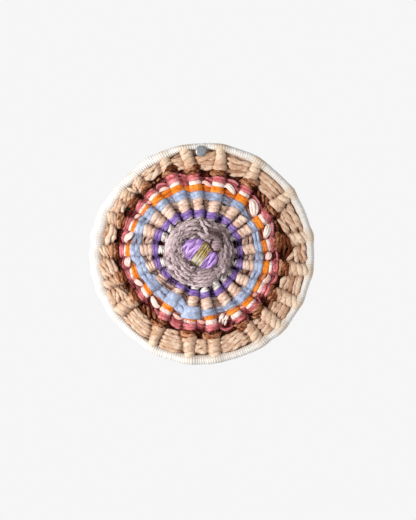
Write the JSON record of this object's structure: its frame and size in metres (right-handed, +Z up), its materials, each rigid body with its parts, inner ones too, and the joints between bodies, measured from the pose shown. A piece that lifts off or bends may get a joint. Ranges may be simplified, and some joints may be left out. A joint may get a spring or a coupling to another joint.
{
  "type": "woven wall hanging with hoop and nail",
  "caption": "Round yarn weaving in raised ribs and concentric colour bands on a cord-wrapped hoop, hanging on a nail to decorate a wall.",
  "frame": {"origin": "the point where the nail enters the wall, on the nail's axis", "axes": "+X to the viewer's right, +Y into the wall, so the front faces -Y, +Z up"},
  "size_m": [0.2026, 0.0394, 0.1996],
  "materials": {
    "hoop_wrap": "white cord wound closely round a hoop, matt",
    "tan_weft": "flat tan paper yarn, matt, in thick wraps",
    "brown_weft": "brown yarn, matt",
    "pink_weft": "soft rose roving",
    "white_weft": "soft white yarn",
    "orange_weft": "bright orange wool",
    "blue_weft": "soft pale blue wool, slightly fuzzy",
    "sand_weft": "light tan paper yarn, matt",
    "violet_weft": "violet yarn with a slight sheen",
    "metal_thread": "silver and gold metallic thread, glossy",
    "mauve_coil": "thick mauve-grey wool, rough and hairy",
    "lilac_pad": "lilac stranded yarn",
    "gold_binding": "gold metallic thread, glossy",
    "nail": "zinc-coated steel, dull"
  },
  "bodies": {
    "root": {"hoop_wrap": "hoop_wrap", "tan_weft": "tan_weft", "brown_weft": "brown_weft", "pink_weft": "pink_weft", "white_weft": "white_weft", "orange_weft": "orange_weft", "blue_weft": "blue_weft", "sand_weft": "sand_weft", "violet_weft": "violet_weft", "metal_thread": "metal_thread", "mauve_coil": "mauve_coil", "lilac_pad": "lilac_pad", "gold_binding": "gold_binding", "nail": "nail"}
  },
  "joints": []
}
